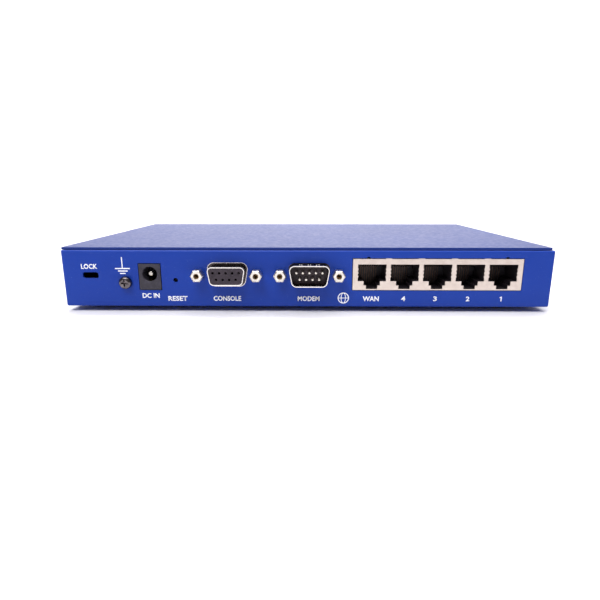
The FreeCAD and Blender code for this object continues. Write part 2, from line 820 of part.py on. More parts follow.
def rj45_housing():
    """Black moulding behind the screen with one cavity for each plug."""
    body = new_body("rj45_housing")
    block = sketch_on(body, "XZ", "0.4")
    polygon(block, span_corners("-block_width / 2 + 0.27", "block_width / 2 - 0.27",
                                "0", "block_height - 0.3"))
    pad(body, block, "block_depth - 0.7", reverse=True)
    first = "-2 * port_pitch"
    cavity = sketch_on(body, "XZ", "0.4")
    polygon(cavity, [(first + " + 2.55", "0.4"), (first + " + 2.55", "2"), (first + " + 3.63", "2"),
                     (first + " + 3.63", "port_floor - 0.05"), (first + " + 6.1", "port_floor - 0.05"),
                     (first + " + 6.1", "port_top + 0.6"), (first + " - 6.1", "port_top + 0.6"),
                     (first + " - 6.1", "port_floor - 0.05"), (first + " - 3.63", "port_floor - 0.05"),
                     (first + " - 3.63", "2"), (first + " - 2.55", "2"), (first + " - 2.55", "0.4")])
    room = pocket(body, cavity, "12.8")
    slot = sketch_on(body, "XY")
    polygon(slot, span_corners(first + " - 4.5", first + " + 4.5", "12.4", "13.2"))
    way = pocket(body, slot, "port_floor + 1", reverse=True)
    row_of(body, [room, way], "X", 5, "4 * port_pitch")
    place(body, "block_x", BOARD_TOP)


def rj45_contacts():
    """Forty sprung wires, eight to a port."""
    body = new_body("rj45_contacts")
    wire = sketch_on(body, "YZ", "-2 * port_pitch - 3.57")
    roof = "port_top + 0.2"
    polygon(wire, [("2", roof), ("13", roof), ("13", "0"), ("12.7", "0"), ("12.7", roof + " - 0.3"),
                   ("3.3", roof + " - 0.3"), ("8.6", roof + " - 2.3"), ("8.5", roof + " - 2.58"),
                   ("2", roof + " - 0.18")])
    strand = pad(body, wire, "0.35", both=True)
    row_of(body, [strand], "X", 8, "7 * 1.02")
    row_of(body, [], "X", 5, "4 * port_pitch")
    place(body, "block_x", BOARD_TOP)


# ---- indicator lamps ----------------------------------------------------------------------


def lamp_housings():
    body = new_body("lamp_housings")
    block = sketch_on(body, "XZ", "117.5")
    polygon(block, span_corners("lamp_first - 2.2", "lamp_first + 2.2", BOARD_TOP, "lamp_z + 2.2"))
    piece = pad(body, block, "board_front - 117.5", reverse=True)
    row_of(body, [piece], "X", 10, "9 * lamp_pitch")
    place(body)


def lamp_lenses():
    body = new_body("lamp_lenses")
    barrel = sketch_on(body, "XZ", "board_front")
    for step in range(10):
        circle(barrel, "lamp_first + %d * lamp_pitch" % step, "lamp_z", "lamp_radius")
    pad(body, barrel, "lamp_tip - board_front", reverse=True)
    round_level(body, "lamp_radius * 0.6", "Y", "lamp_tip")
    place(body)


# ---- board components -----------------------------------------------------------------------


def blocks(label, places, size, level=BOARD_TOP, radius=None):
    """Upright blocks of one size standing on the board."""
    width, depth, height = size
    body = new_body(label)
    base = sketch_on(body, "XY", level)
    corners = []
    for x, y in places:
        outline = box_corners(x, y, width, depth)
        polygon(base, outline)
        corners += outline
    pad(body, base, height)
    if radius:
        round_corners(body, radius, "Z", corners)
    place(body)
    return body


def lead_rows(body, middle, width, pitch, count, along):
    """Flat leads down both sides of a chip, count to a side."""
    x, y = middle
    start = "-(%s) / 2" % ("%d * %s" % (count - 1, pitch))
    first = sketch_on(body, "XY", BOARD_TOP)
    for side in ("-", "+"):
        offset = "%s (%s + 0.5)" % (side, width)
        if along == "X":
            polygon(first, box_corners("%s + %s" % (x, start), "%s %s" % (y, offset), "0.24", "1"))
        else:
            polygon(first, box_corners("%s %s" % (x, offset), "%s + %s" % (y, start), "1", "0.24"))
    feet = pad(body, first, "0.25")
    row_of(body, [feet], along, count, "%d * %s" % (count - 1, pitch))


def processor():
    body = blocks("processor", [("-20", "70")], ("27", "27", "0.6"))
    cap = sketch_on(body, "XY", BOARD_TOP + " + 0.5")
    polygon(cap, box_corners("-20", "70", "23", "23"))
    pad(body, cap, "1.9")


def heatsink():
    """Finned block on the processor."""
    base = BOARD_TOP + " + 2.4"
    body = blocks("heatsink", [("-20", "70")], ("27", "27", "1.6"), base)
    fin = sketch_on(body, "XY", base + " + 1.5")
    polygon(fin, box_corners("-32.9", "70", "1.2", "27"))
    blade = pad(body, fin, "7.5")
    row_of(body, [blade], "X", 9, "25.8")


def chips():
    blocks("memory_chips", [("-52", "62"), ("-52", "80")], ("22.2", "10.2", "1.1"))
    blocks("flash_chip", [("-52", "98")], ("22.2", "10.2", "1.1"))
    leads = new_body("memory_leads")
    lead_rows(leads, ("-52", "62"), "5.1", "0.8", 27, "X")
    row_of(leads, [], "Y", 3, "36")
    place(leads)
    blocks("switch_chip", [("50", "62")], ("20", "14", "2.7"))
    leads = new_body("switch_leads")
    lead_rows(leads, ("50", "62"), "7", "0.5", 38, "X")
    lead_rows(leads, ("50", "62"), "10", "0.5", 26, "Y")
    place(leads)
    blocks("transceivers", [("-33.6", "24"), ("-8.6", "24")], ("10.2", "5.3", "1.8"))
    leads = new_body("transceiver_leads")
    lead_rows(leads, ("-33.6", "24"), "2.65", "0.65", 14, "X")
    row_of(leads, [], "X", 2, "25")
    place(leads)


def capacitors():
    """Upright electrolytic cans on square plastic bases."""
    wide = [("-60", "24"), ("-50", "32"), ("-68", "33")]
    slim = [("22", "92"), ("32", "92"), ("-80", "78")]
    bases = new_body("capacitor_bases")
    floor = sketch_on(bases, "XY", BOARD_TOP)
    body = new_body("capacitors")
    tall = sketch_on(body, "XY", BOARD_TOP + " + 0.9")
    short = sketch_on(body, "XY", BOARD_TOP + " + 0.9")
    for x, y in wide:
        polygon(floor, box_corners(x, y, "8.3", "8.3"))
        circle(tall, x, y, "4")
    for x, y in slim:
        polygon(floor, box_corners(x, y, "6.6", "6.6"))
        circle(short, x, y, "3.15")
    pad(bases, floor, "0.9")
    pad(body, tall, "9.3")
    pad(body, short, "6.8")
    round_level(body, "0.5", "Z", BOARD_TOP + " + 10.2")
    place(bases)
    place(body)


def passives():
    """Small chip resistors and capacitors in two fields."""
    body = new_body("passives")
    for x, y in (("-8", "90"), ("70", "50")):
        piece = sketch_on(body, "XY", BOARD_TOP)
        polygon(piece, box_corners(x, y, "2", "1.25"))
        grain = pad(body, piece, "0.8")
        field = row_of(body, [grain], "X", 5, "16")
        field.Direction2 = (next(item for item in body.Origin.OriginFeatures
                                 if item.Role == "Y_Axis"), [""])
        field.Occurrences2 = 5
        field.setExpression("Length2", "14")
    place(body)


def power_parts():
    blocks("inductors", [("-80", "44"), ("-80", "62")], ("12.3", "12.3", "6.5"), radius="2")
    blocks("regulator", [("-62", "49")], ("10.2", "8.7", "4.4"))
    blocks("regulator_tab", [("-62", "54.6")], ("10.2", "2.4", "1.3"))
    blocks("fuse", [("-79", "17")], ("7.3", "4.6", "3"))


def build():
    case_base()
    top_cover()
    cover_posts()
    screws_down("cover_screws", POSTS, "0", "-screw_head_height", "screw_radius", ("1", "7"))
    rubber_feet()
    circuit_board()
    board_posts()
    screws_down("board_screws", BOARD_SCREWS, BOARD_TOP, "screw_head_height", "screw_radius",
                ("1", "5"))
    ground_screw()
    ground_nut()
    dc_jack_body()
    dc_jack_pin()
    dc_jack_contact()
    reset_switch_body()
    reset_bracket()
    reset_plunger()
    reset_dome()
    dsub_shell("console_shell", "console_x", "console_width", "console_height", "1.9", False)
    dsub_insulator("console_insulator", "console_x", ("console_width", "console_height"),
                   "-shell_reach + 0.2", "1.4",
                   [("-shell_reach + 0.2", "0.55", "1"), ("-3.9", "0.8", "13")])
    console_contacts()
    dsub_jackscrews("console_jackscrews", "console_x")
    dsub_bracket("console_bracket", "console_x")
    dsub_shell("modem_shell", "modem_x", "modem_width", "modem_height", "2.3", True)
    dsub_insulator("modem_insulator", "modem_x", ("modem_width", "modem_height"),
                   "0.6", "1.8", [("0.6", "0.52", "9")])
    modem_pins()
    dsub_jackscrews("modem_jackscrews", "modem_x")
    dsub_bracket("modem_bracket", "modem_x")
    rj45_shield()
    rj45_housing()
    rj45_contacts()
    lamp_housings()
    lamp_lenses()
    processor()
    heatsink()
    chips()
    blocks("magnetics", [("62.7", "30")], ("28", "11", "6"))
    blocks("uplink_magnetics", [("30", "30")], ("12.8", "9.8", "6"))
    blocks("crystals", [("22", "66"), ("-20", "95"), ("70", "82")], ("11", "4.6", "3.6"), radius="2.2")
    capacitors()
    power_parts()
    passives()


def check():
    """Stops before anything is written if a feature failed or cut nothing."""
    doc.recompute()
    for item in doc.Objects:
        if "Invalid" in item.State or "Error" in item.State:
            raise RuntimeError("%s in %s failed" % (item.Name, item.InList and item.InList[0].Label))
        if item.TypeId == "PartDesign::Pocket":
            if item.Shape.Volume > item.BaseFeature.Shape.Volume - 0.01:
                raise RuntimeError("%s cuts nothing" % item.Name)
        if item.TypeId == "PartDesign::Body":
            if item.Shape.isNull() or not item.Shape.isValid():
                raise RuntimeError("%s has no sound shape" % item.Label)


def write():
    os.makedirs("parts", exist_ok=True)
    for item in doc.Objects:
        if item.TypeId == "PartDesign::Body":
            item.Shape.exportStep("parts/%s.step" % item.Label)


build()
check()
write()
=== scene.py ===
import math

import bmesh
import bpy
from mathutils import Matrix, Vector


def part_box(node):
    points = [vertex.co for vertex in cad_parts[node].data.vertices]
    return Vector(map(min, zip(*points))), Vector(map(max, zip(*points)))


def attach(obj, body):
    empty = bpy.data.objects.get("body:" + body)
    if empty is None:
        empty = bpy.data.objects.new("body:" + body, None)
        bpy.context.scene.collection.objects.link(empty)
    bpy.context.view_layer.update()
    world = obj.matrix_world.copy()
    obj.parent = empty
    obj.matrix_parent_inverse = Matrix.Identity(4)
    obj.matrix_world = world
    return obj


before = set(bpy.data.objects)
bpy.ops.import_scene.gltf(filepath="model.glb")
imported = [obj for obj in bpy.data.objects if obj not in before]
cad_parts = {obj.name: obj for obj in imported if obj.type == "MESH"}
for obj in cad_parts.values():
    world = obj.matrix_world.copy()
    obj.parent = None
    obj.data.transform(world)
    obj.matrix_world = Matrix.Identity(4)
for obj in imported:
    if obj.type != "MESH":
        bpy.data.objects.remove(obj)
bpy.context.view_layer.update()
BODY = "appliance"

# Places are given in millimetres on the port panel: x from the panel's middle, y from its outer
# face into the box, z from the underside of the steel tray.
case_low, case_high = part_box("case_base")
MIDDLE = (case_low.x + case_high.x) / 2
CONSOLE_X = -33.95
MODEM_X = 1.2
DSUB_LEVEL = 14.15
JACKSCREWS = (-12.495, 12.495)
MODEM_SHELL_HEIGHT = 9.15


def at(x, y, z):
    return Vector((MIDDLE + x / 1000, case_low.y + y / 1000, case_low.z + z / 1000))


# ---- materials ---------------------------------------------------------------------------


def noise(tree, vector, scale, detail=2.0, roughness=0.5):
    """Cloudy texture; scale is patches per metre."""
    node = tree.nodes.new("ShaderNodeTexNoise")
    node.inputs["Scale"].default_value = scale
    node.inputs["Detail"].default_value = detail
    node.inputs["Roughness"].default_value = roughness
    tree.links.new(vector, node.inputs["Vector"])
    return node.outputs["Fac"]


def spread(tree, value, low, high, start=0.0, end=1.0):
    """Maps a texture's start to end onto low to high."""
    node = tree.nodes.new("ShaderNodeMapRange")
    node.inputs["From Min"].default_value = start
    node.inputs["From Max"].default_value = end
    node.inputs["To Min"].default_value = low
    node.inputs["To Max"].default_value = high
    tree.links.new(value, node.inputs["Value"])
    return node.outputs["Result"]


def mix(tree, factor, first, second):
    """Colour mix; each side is a colour or the output of another node."""
    node = tree.nodes.new("ShaderNodeMix")
    node.data_type = "RGBA"
    tree.links.new(factor, node.inputs["Factor"])
    for socket, value in ((node.inputs[6], first), (node.inputs[7], second)):
        if isinstance(value, tuple):
            socket.default_value = (*value, 1.0)
        else:
            tree.links.new(value, socket)
    return node.outputs[2]


def relief(tree, height, strength, distance, base=None):
    """Bumps on top of the plain surface, or on top of the bumps of another relief."""
    node = tree.nodes.new("ShaderNodeBump")
    node.inputs["Strength"].default_value = strength
    node.inputs["Distance"].default_value = distance
    tree.links.new(height, node.inputs["Height"])
    if base is not None:
        tree.links.new(base, node.inputs["Normal"])
    return node.outputs["Normal"]


def facing(tree, axis, start, end):
    """Runs from 0 to 1 as the surface turns along one of the object's own axes."""
    normal = tree.nodes.new("ShaderNodeTexCoord").outputs["Normal"]
    parts = tree.nodes.new("ShaderNodeSeparateXYZ")
    tree.links.new(normal, parts.inputs["Vector"])
    return spread(tree, parts.outputs[axis], 0, 1, start, end)


def new_material(name):
    """A new material, its node tree, its shader and the object's own coordinates."""
    material = bpy.data.materials.new(name)
    material.use_nodes = True
    tree = material.node_tree
    coords = tree.nodes.new("ShaderNodeTexCoord")
    return material, tree, tree.nodes["Principled BSDF"], coords.outputs["Object"]


def stretched(tree, vector, scale):
    """Coordinates whose texture is squeezed along each axis by the given scale."""
    node = tree.nodes.new("ShaderNodeMapping")
    node.inputs["Scale"].default_value = scale
    tree.links.new(vector, node.inputs["Vector"])
    return node.outputs["Vector"]


def surface(name, dark, light, rough, metal=0.0, patch=60.0, grain=900.0, depth=0.00001,
            grip=0.3, stretch=None, **settings):
    """Two tones in broad patches, fine grain in the gloss, and shallow relief."""
    material, tree, shader, vector = new_material(name)
    if stretch:
        vector = stretched(tree, vector, stretch)
    broad = noise(tree, vector, patch, 4.0, 0.6)
    fine = noise(tree, vector, grain, 3.0, 0.6)
    tree.links.new(mix(tree, spread(tree, broad, 0, 1, 0.35, 0.65), dark, light),
                   shader.inputs["Base Color"])
    tree.links.new(spread(tree, fine, rough[0], rough[1], 0.3, 0.7), shader.inputs["Roughness"])
    tree.links.new(relief(tree, fine, grip, depth), shader.inputs["Normal"])
    shader.inputs["Metallic"].default_value = metal
    for key, value in settings.items():
        shader.inputs[key.replace("_", " ")].default_value = value
    return material


PALE_DUST = (0.10, 0.16, 0.45)
PALE_SCUFF = (0.09, 0.15, 0.42)


def powder_coat(name, level, dark, light, edge=None, painted_top_highlight=None):
    """Blue enamel: orange peel, faint tone drift, and a few pale scuffs and dust specks.

    edge paints shade on what doesn't face up, and the top highlight colour paints a highlight on
    what does.
    """
    material, tree, shader, vector = new_material(name)
    drift = noise(tree, vector, 18.0, 3.0, 0.55)
    peel = noise(tree, vector, 620.0, 2.0, 0.55)
    fine = noise(tree, vector, 2600.0, 2.0, 0.5)
    colour = mix(tree, spread(tree, drift, 0, 1, 0.3, 0.7), dark, light)
    dust = noise(tree, vector, 1500.0, 1.0, 0.4)
    colour = mix(tree, spread(tree, dust, 0, 0.25, 0.70, 0.80), colour, PALE_DUST)
    scuffs = noise(tree, stretched(tree, vector, (1.0, 1.0, 9.0)), 55.0, 5.0, 0.7)
    colour = mix(tree, spread(tree, scuffs, 0, 0.10, 0.62, 0.74), colour, PALE_SCUFF)
    # Painted shade: faces that don't turn up take the darker edge colour.
    if edge:
        colour = mix(tree, facing(tree, "Z", 0.3, 0.8), edge, colour)
    # Painted highlight: faces turned up take the lighter top colour.
    if painted_top_highlight:
        colour = mix(tree, facing(tree, "Z", 0.2, 0.6), colour, painted_top_highlight)
    tree.links.new(colour, shader.inputs["Base Color"])
    tree.links.new(spread(tree, peel, 0.30, 0.42, 0.3, 0.7), shader.inputs["Roughness"])
    bumps = relief(tree, peel, 0.35, 0.00003)
    tree.links.new(relief(tree, fine, 0.25, 0.000008, bumps), shader.inputs["Normal"])
    shader.inputs["Specular IOR Level"].default_value = level
    return material


# Depths at which the bright rim of a shell starts to show, and is full.
RIM_STARTS = -2.6
RIM_FULL = -4.0


def drawn_shell():
    """Tinned shell with draw marks: sides and flange painted dark as painted shade, the rim proud
    of the panel in bright tin.

    Only what faces forward and stands proud of the panel is rim: the flange faces forward too.
    """
    material, tree, shader, vector = new_material("drawn_tin_shell")
    marks = noise(tree, stretched(tree, vector, (1.0, 0.2, 1.0)), 1500.0, 4.0, 0.6)
    # Painted shade: the sides and the flange get a dark tin colour in place of shade.
    painted_shade_sides = mix(tree, spread(tree, marks, 0, 1, 0.3, 0.7), (0.055, 0.045, 0.044),
                (0.10, 0.083, 0.080))
    place = tree.nodes.new("ShaderNodeSeparateXYZ")
    tree.links.new(vector, place.inputs["Vector"])
    proud = spread(tree, place.outputs["Y"], 0, 1, at(0, RIM_STARTS, 0).y, at(0, RIM_FULL, 0).y)
    rim = mix(tree, proud, painted_shade_sides, (0.84, 0.80, 0.76))
    tree.links.new(mix(tree, facing(tree, "Y", -0.3, -0.8), painted_shade_sides, rim),
                   shader.inputs["Base Color"])
    tree.links.new(spread(tree, marks, 0.20, 0.36, 0.3, 0.7), shader.inputs["Roughness"])
    tree.links.new(relief(tree, marks, 0.12, 0.00001), shader.inputs["Normal"])
    shader.inputs["Metallic"].default_value = 1.0
    return material


# How strongly copper shows through the mask.
BLANK = (0, 0, 0, 1)
FAINT = (0.25, 0.25, 0.25, 1)
FULL = (1, 1, 1, 1)


def copper_runs(tree, vector, turned):
    """Long thin lines with now and then a step across, along x or along y."""
    node = tree.nodes.new("ShaderNodeTexBrick")
    node.offset = 0.37
    node.inputs["Scale"].default_value = 260.0
    node.inputs["Mortar Size"].default_value = 0.045
    node.inputs["Brick Width"].default_value = 4.3
    node.inputs["Row Height"].default_value = 0.17
    node.inputs["Color1"].default_value = BLANK
    node.inputs["Color2"].default_value = FAINT
    node.inputs["Mortar"].default_value = FULL
    if turned:
        mapping = tree.nodes.new("ShaderNodeMapping")
        mapping.inputs["Rotation"].default_value = (0, 0, math.radians(90))
        tree.links.new(vector, mapping.inputs["Vector"])
        vector = mapping.outputs["Vector"]
    tree.links.new(vector, node.inputs["Vector"])
    return node.outputs["Color"]


def solder_mask():
    """Green board: copper tracks under the mask, tinned dots where they change layer."""
    material, tree, shader, vector = new_material("solder_mask")
    patches = spread(tree, noise(tree, vector, 70.0, 1.0), 0, 1, 0.49, 0.50)
    along = copper_runs(tree, vector, False)
    across = copper_runs(tree, vector, True)
    runs = mix(tree, patches, along, across)
    dots = tree.nodes.new("ShaderNodeTexVoronoi")
    dots.inputs["Scale"].default_value = 300.0
    tree.links.new(vector, dots.inputs["Vector"])
    tracks = mix(tree, runs, (0.008, 0.075, 0.028), (0.02, 0.15, 0.05))
    colour = mix(tree, spread(tree, dots.outputs["Distance"], 1, 0, 0.07, 0.10), tracks,
                 (0.55, 0.53, 0.48))
    tree.links.new(colour, shader.inputs["Base Color"])
    tree.links.new(relief(tree, runs, 0.4, 0.00003), shader.inputs["Normal"])
    shader.inputs["Roughness"].default_value = 0.32
    return material


# Tray paint, with a painted highlight on its upward faces such as the top bend under the lid.
COAT = powder_coat("blue_powder_coat", 0.22, (0.0037, 0.035, 0.295), (0.0055, 0.0425, 0.33),
                   painted_top_highlight=(0.045, 0.10, 0.52))
# Lid: the tray's blue made darker as painted shade, and its side faces darker still as painted
# shade.
SHADED_LID_COAT = powder_coat("shaded_blue_lid_coat", 0.245, (0.004, 0.026, 0.175), (0.007, 0.033, 0.205),
                       (0.004, 0.022, 0.17))
NICKEL = surface("bright_nickel", (0.66, 0.60, 0.52), (0.86, 0.82, 0.75), (0.22, 0.40), 1.0,
                 patch=500.0, grain=2600.0, depth=0.00001)
POLISHED = surface("polished_pin", (0.40, 0.37, 0.33), (0.55, 0.52, 0.47), (0.12, 0.20), 1.0,
                   patch=700.0, grain=2600.0)
# Painted shade: nickel given a dark colour, for the ground screw, the reset dome and the console
# contacts.
SHADED_NICKEL = surface("nickel_painted_shade", (0.07, 0.06, 0.065), (0.18, 0.16, 0.165), (0.14, 0.28), 1.0,
                       patch=700.0, grain=2600.0)
TIN = surface("tin_plate", (0.64, 0.55, 0.485), (0.73, 0.64, 0.57), (0.30, 0.46), 1.0, patch=260.0,
              grain=1800.0, depth=0.00001)
SHELL = drawn_shell()
ZINC = surface("zinc_plate", (0.48, 0.49, 0.50), (0.68, 0.68, 0.66), (0.28, 0.45), 1.0, patch=350.0)
# Painted shade: gold contacts made nearly black because they sit deep in the dark ports.
SHADED_GOLD = surface("gold_flash_painted_shade", (0.075, 0.048, 0.038), (0.13, 0.085, 0.065), (0.35, 0.5), 1.0,
               patch=800.0, grain=3000.0)
RUBBER = surface("black_rubber", (0.012, 0.012, 0.013), (0.03, 0.03, 0.03), (0.65, 0.85),
                 grain=1400.0, depth=0.00004)
BLACK = surface("black_moulding", (0.012, 0.009, 0.012), (0.022, 0.017, 0.022), (0.38, 0.55),
                grain=1800.0, depth=0.00002)
JACK = surface("charcoal_moulding", (0.028, 0.025, 0.034), (0.046, 0.042, 0.056), (0.42, 0.60),
               patch=220.0, grain=2200.0, depth=0.00003, Specular_IOR_Level=0.3)
GREY = surface("grey_moulding", (0.028, 0.020, 0.028), (0.046, 0.034, 0.046), (0.40, 0.58),
               patch=260.0, grain=2200.0, depth=0.00002, Specular_IOR_Level=0.3)
BROWN = surface("dark_moulding", (0.028, 0.013, 0.018), (0.050, 0.025, 0.034), (0.40, 0.55),
                patch=260.0, grain=2200.0, depth=0.00002)
CHIP = surface("moulding_compound", (0.014, 0.014, 0.015), (0.026, 0.026, 0.027), (0.50, 0.70),
               grain=1500.0, depth=0.00002)
ANODISED = surface("black_anodised", (0.015, 0.015, 0.017), (0.03, 0.03, 0.033), (0.35, 0.5), 0.9,
                   stretch=(1.0, 0.1, 1.0))
CAN = surface("drawn_can", (0.60, 0.60, 0.62), (0.78, 0.78, 0.79), (0.22, 0.36), 1.0,
              stretch=(1.0, 1.0, 0.1))
FERRITE = surface("sintered_ferrite", (0.035, 0.035, 0.04), (0.07, 0.07, 0.075), (0.6, 0.8),
                  grain=1300.0, depth=0.00005)
CERAMIC = surface("ceramic", (0.20, 0.14, 0.08), (0.36, 0.28, 0.19), (0.40, 0.55))
LENS = surface("green_lens", (0.20, 0.42, 0.14), (0.34, 0.56, 0.24), (0.12, 0.2),
               Transmission_Weight=0.5, IOR=1.49)
INK = surface("white_ink", (0.88, 0.89, 0.92), (0.95, 0.96, 0.98), (0.45, 0.6), patch=900.0,
              grain=2600.0, depth=0.00001, grip=0.08)
THREAD = surface("dark_thread", (0.42, 0.30, 0.18), (0.70, 0.54, 0.36), (0.3, 0.5), 1.0,
                 patch=900.0)
BRASS = surface("worn_brass", (0.30, 0.24, 0.12), (0.50, 0.42, 0.24), (0.25, 0.4), 1.0, patch=700.0)
# Bare steel of the cut edge, brighter than bare steel as a painted highlight.
EDGE_AND_HIGHLIGHT = surface("bare_edge_and_highlight", (0.62, 0.58, 0.58), (0.86, 0.82, 0.80), (0.3, 0.5), 1.0, patch=900.0)
BOARD = solder_mask()

LOOKS = {
    COAT: ["case_base"],
    SHADED_LID_COAT: ["top_cover"],
    NICKEL: ["console_jackscrews", "modem_jackscrews", "modem_pins"],
    POLISHED: ["dc_jack_pin"],
    SHADED_NICKEL: ["ground_screw", "reset_dome", "console_contacts"],
    BRASS: ["dc_jack_contact"],
    TIN: ["rj45_shield", "reset_bracket", "console_bracket", "modem_bracket", "memory_leads",
          "switch_leads", "transceiver_leads", "regulator_tab"],
    SHELL: ["console_shell", "modem_shell"],
    ZINC: ["cover_posts", "cover_screws", "board_posts", "board_screws", "ground_nut"],
    SHADED_GOLD: ["rj45_contacts"],
    RUBBER: ["rubber_feet"],
    BLACK: ["rj45_housing", "reset_switch_body", "reset_plunger", "lamp_housings",
            "capacitor_bases"],
    JACK: ["dc_jack_body"],
    GREY: ["console_insulator"],
    BROWN: ["modem_insulator"],
    CHIP: ["processor", "memory_chips", "flash_chip", "switch_chip", "transceivers", "magnetics",
           "uplink_magnetics", "regulator", "fuse"],
    ANODISED: ["heatsink"],
    CAN: ["crystals", "capacitors"],
    FERRITE: ["inductors"],
    CERAMIC: ["passives"],
    LENS: ["lamp_lenses"],
    BOARD: ["circuit_board"],
}

# Width of the softened edge, in metres, on the pieces that don't have the usual one.
SOFT = {"case_base": 0.00012, "top_cover": 0.00008, "rj45_shield": 0.00008,
        "console_jackscrews": 0.0001, "modem_jackscrews": 0.0001, "dc_jack_body": 0.00012}
USUAL_SOFT = 0.00004


def dress_cad_nodes():
    """Gives every CAD node its material and a softened edge that catches light."""
    for material, names in LOOKS.items():
        for name in names:
            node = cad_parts[name]
            for place in node.material_slots:
                place.material = material
            soften = node.modifiers.new("soft_edge", "BEVEL")
            soften.width = SOFT.get(name, USUAL_SOFT)
            soften.segments = 2
            soften.limit_method = "ANGLE"
            soften.angle_limit = math.radians(35)
            soften.harden_normals = True


# ---- pieces --------------------------------------------------------------------------------


def finish_piece(piece, material):
    """Gives a piece its material, and lets it ride on the case."""
    piece.data.materials.clear()
    piece.data.materials.append(material)
    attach(piece, BODY)


def mesh_piece(name, shape, material):
    """A piece from a bmesh built in the part's own frame."""
    data = bpy.data.meshes.new(name)
    shape.to_mesh(data)
    shape.free()
    piece = bpy.data.objects.new(name, data)
    bpy.context.scene.collection.objects.link(piece)
    finish_piece(piece, material)


def strip(shape, points, width, thickness, closed=False):
    """Flat ribbon of ink or metal on the panel, along points (x, z)."""
    count = len(points)
    rails = []
    for index, (x, z) in enumerate(points):
        before = points[index - 1] if closed or index else points[index]
        after = points[(index + 1) % count] if closed or index < count - 1 else points[index]
        along = Vector((after[0] - before[0], after[1] - before[1])).normalized()
        side = Vector((-along.y, along.x)) * width / 2
        rails.append([(x + side.x, z + side.y), (x - side.x, z - side.y)])
    front = [[shape.verts.new(at(x, -thickness, z)) for x, z in pair] for pair in rails]
    back = [[shape.verts.new(at(x, 0, z)) for x, z in pair] for pair in rails]
    for index in range(count if closed else count - 1):
        following = (index + 1) % count
        a, b = front[index], front[following]
        c, d = back[index], back[following]
        shape.faces.new((a[0], b[0], b[1], a[1]))
        shape.faces.new((a[0], c[0], d[0], b[0]))
        shape.faces.new((a[1], b[1], d[1], c[1]))
        shape.faces.new((c[0], c[1], d[1], d[0]))
    if not closed:
        for a, c in ((front[0], back[0]), (front[-1], back[-1])):
            shape.faces.new((a[0], a[1], c[1], c[0]))


def ring_points(x, z, across, upward, count=48):
    """Points (x, z) round an ellipse with the given half axes."""
    turn = 2 * math.pi / count
    return [(x + across * math.cos(turn * i), z + upward * math.sin(turn * i))
            for i in range(count)]


# Drawn strokes stand this far off the panel, and those that cross differ by a step, so that no
# faces coincide. Letters are bolder than the plain face, by a part of their size.
INK_DEPTH = 0.03
INK_STEP = 0.004
LETTER_THICKNESS = 0.04
BOLDER = 0.03


def legend(name, words, left, right, low, high):
    """Flat ink lettering that fills the given span of the panel."""
    curve = bpy.data.curves.new(name, "FONT")
    curve.body = words
    curve.size = 1.0
    curve.offset = BOLDER
    curve.resolution_u = 3
    text = bpy.data.objects.new(name, curve)
    bpy.context.scene.collection.objects.link(text)
    bpy.context.view_layer.update()
    data = bpy.data.meshes.new_from_object(text)
    bpy.data.objects.remove(text)
    xs = [v.co.x for v in data.vertices]
    ys = [v.co.y for v in data.vertices]
    for vertex in data.vertices:
        across = (vertex.co.x - min(xs)) / (max(xs) - min(xs))
        upward = (vertex.co.y - min(ys)) / (max(ys) - min(ys))
        vertex.co = at(left + (right - left) * across, 0.0, low + (high - low) * upward)
    data.update()
    piece = bpy.data.objects.new(name, data)
    bpy.context.scene.collection.objects.link(piece)
    thick = piece.modifiers.new("ink", "SOLIDIFY")
    thick.thickness = LETTER_THICKNESS / 1000
    thick.offset = 0.0
    finish_piece(piece, INK)


def port_legends():
    """White silk screen under and over the ports: plain words and numbers only."""
    legend("legend_lock", "LOCK", -96.9, -89.9, 16.45, 18.65)
    legend("legend_power", "DC IN", -71.4, -63.9, 3.7, 5.85)
    legend("legend_reset", "RESET", -60.2, -51.8, 2.4, 4.6)
    legend("legend_console", "CONSOLE", -40.4, -28.4, 2.5, 4.7)
    legend("legend_modem", "MODEM", -3.8, 5.7, 2.5, 4.7)
    legend("legend_wan", "WAN", 24.4, 31.4, 2.5, 4.7)
    for name, x, width in (("4", 41.95, 1.8), ("3", 55.7, 1.6), ("2", 69.8, 1.6)):
        legend("legend_" + name, name, x - width / 2, x + width / 2, 2.6, 4.7)
    one = bmesh.new()
    strip(one, [(84.2, 2.6), (84.2, 4.7)], 0.44, INK_DEPTH)
    strip(one, [(84.2, 4.52), (83.5, 4.12)], 0.36, INK_DEPTH + INK_STEP)
    mesh_piece("legend_1", one, INK)
    earth = bmesh.new()
    strip(earth, [(-79.12, 21.6), (-79.12, 16.7)], 0.42, INK_DEPTH)
    for left, right, level in ((-82.3, -75.9, 16.67), (-81.1, -76.9, 15.6), (-80.3, -77.9, 14.54)):
        strip(earth, [(left, level), (right, level)], 0.46, INK_DEPTH + INK_STEP)
    mesh_piece("legend_earth", earth, INK)
    globe = bmesh.new()
    strip(globe, ring_points(16.0, 3.9, 2.25, 2.25), 0.4, INK_DEPTH, True)
    strip(globe, ring_points(16.0, 3.9, 0.95, 2.2), 0.28, INK_DEPTH + INK_STEP, True)
    strip(globe, [(13.8, 3.9), (18.2, 3.9)], 0.28, INK_DEPTH + 2 * INK_STEP)
    mesh_piece("legend_globe", globe, INK)


# ---- small metal details --------------------------------------------------------------------


SIDE_LEAN = math.radians(10)
CORNER_STEPS = 8


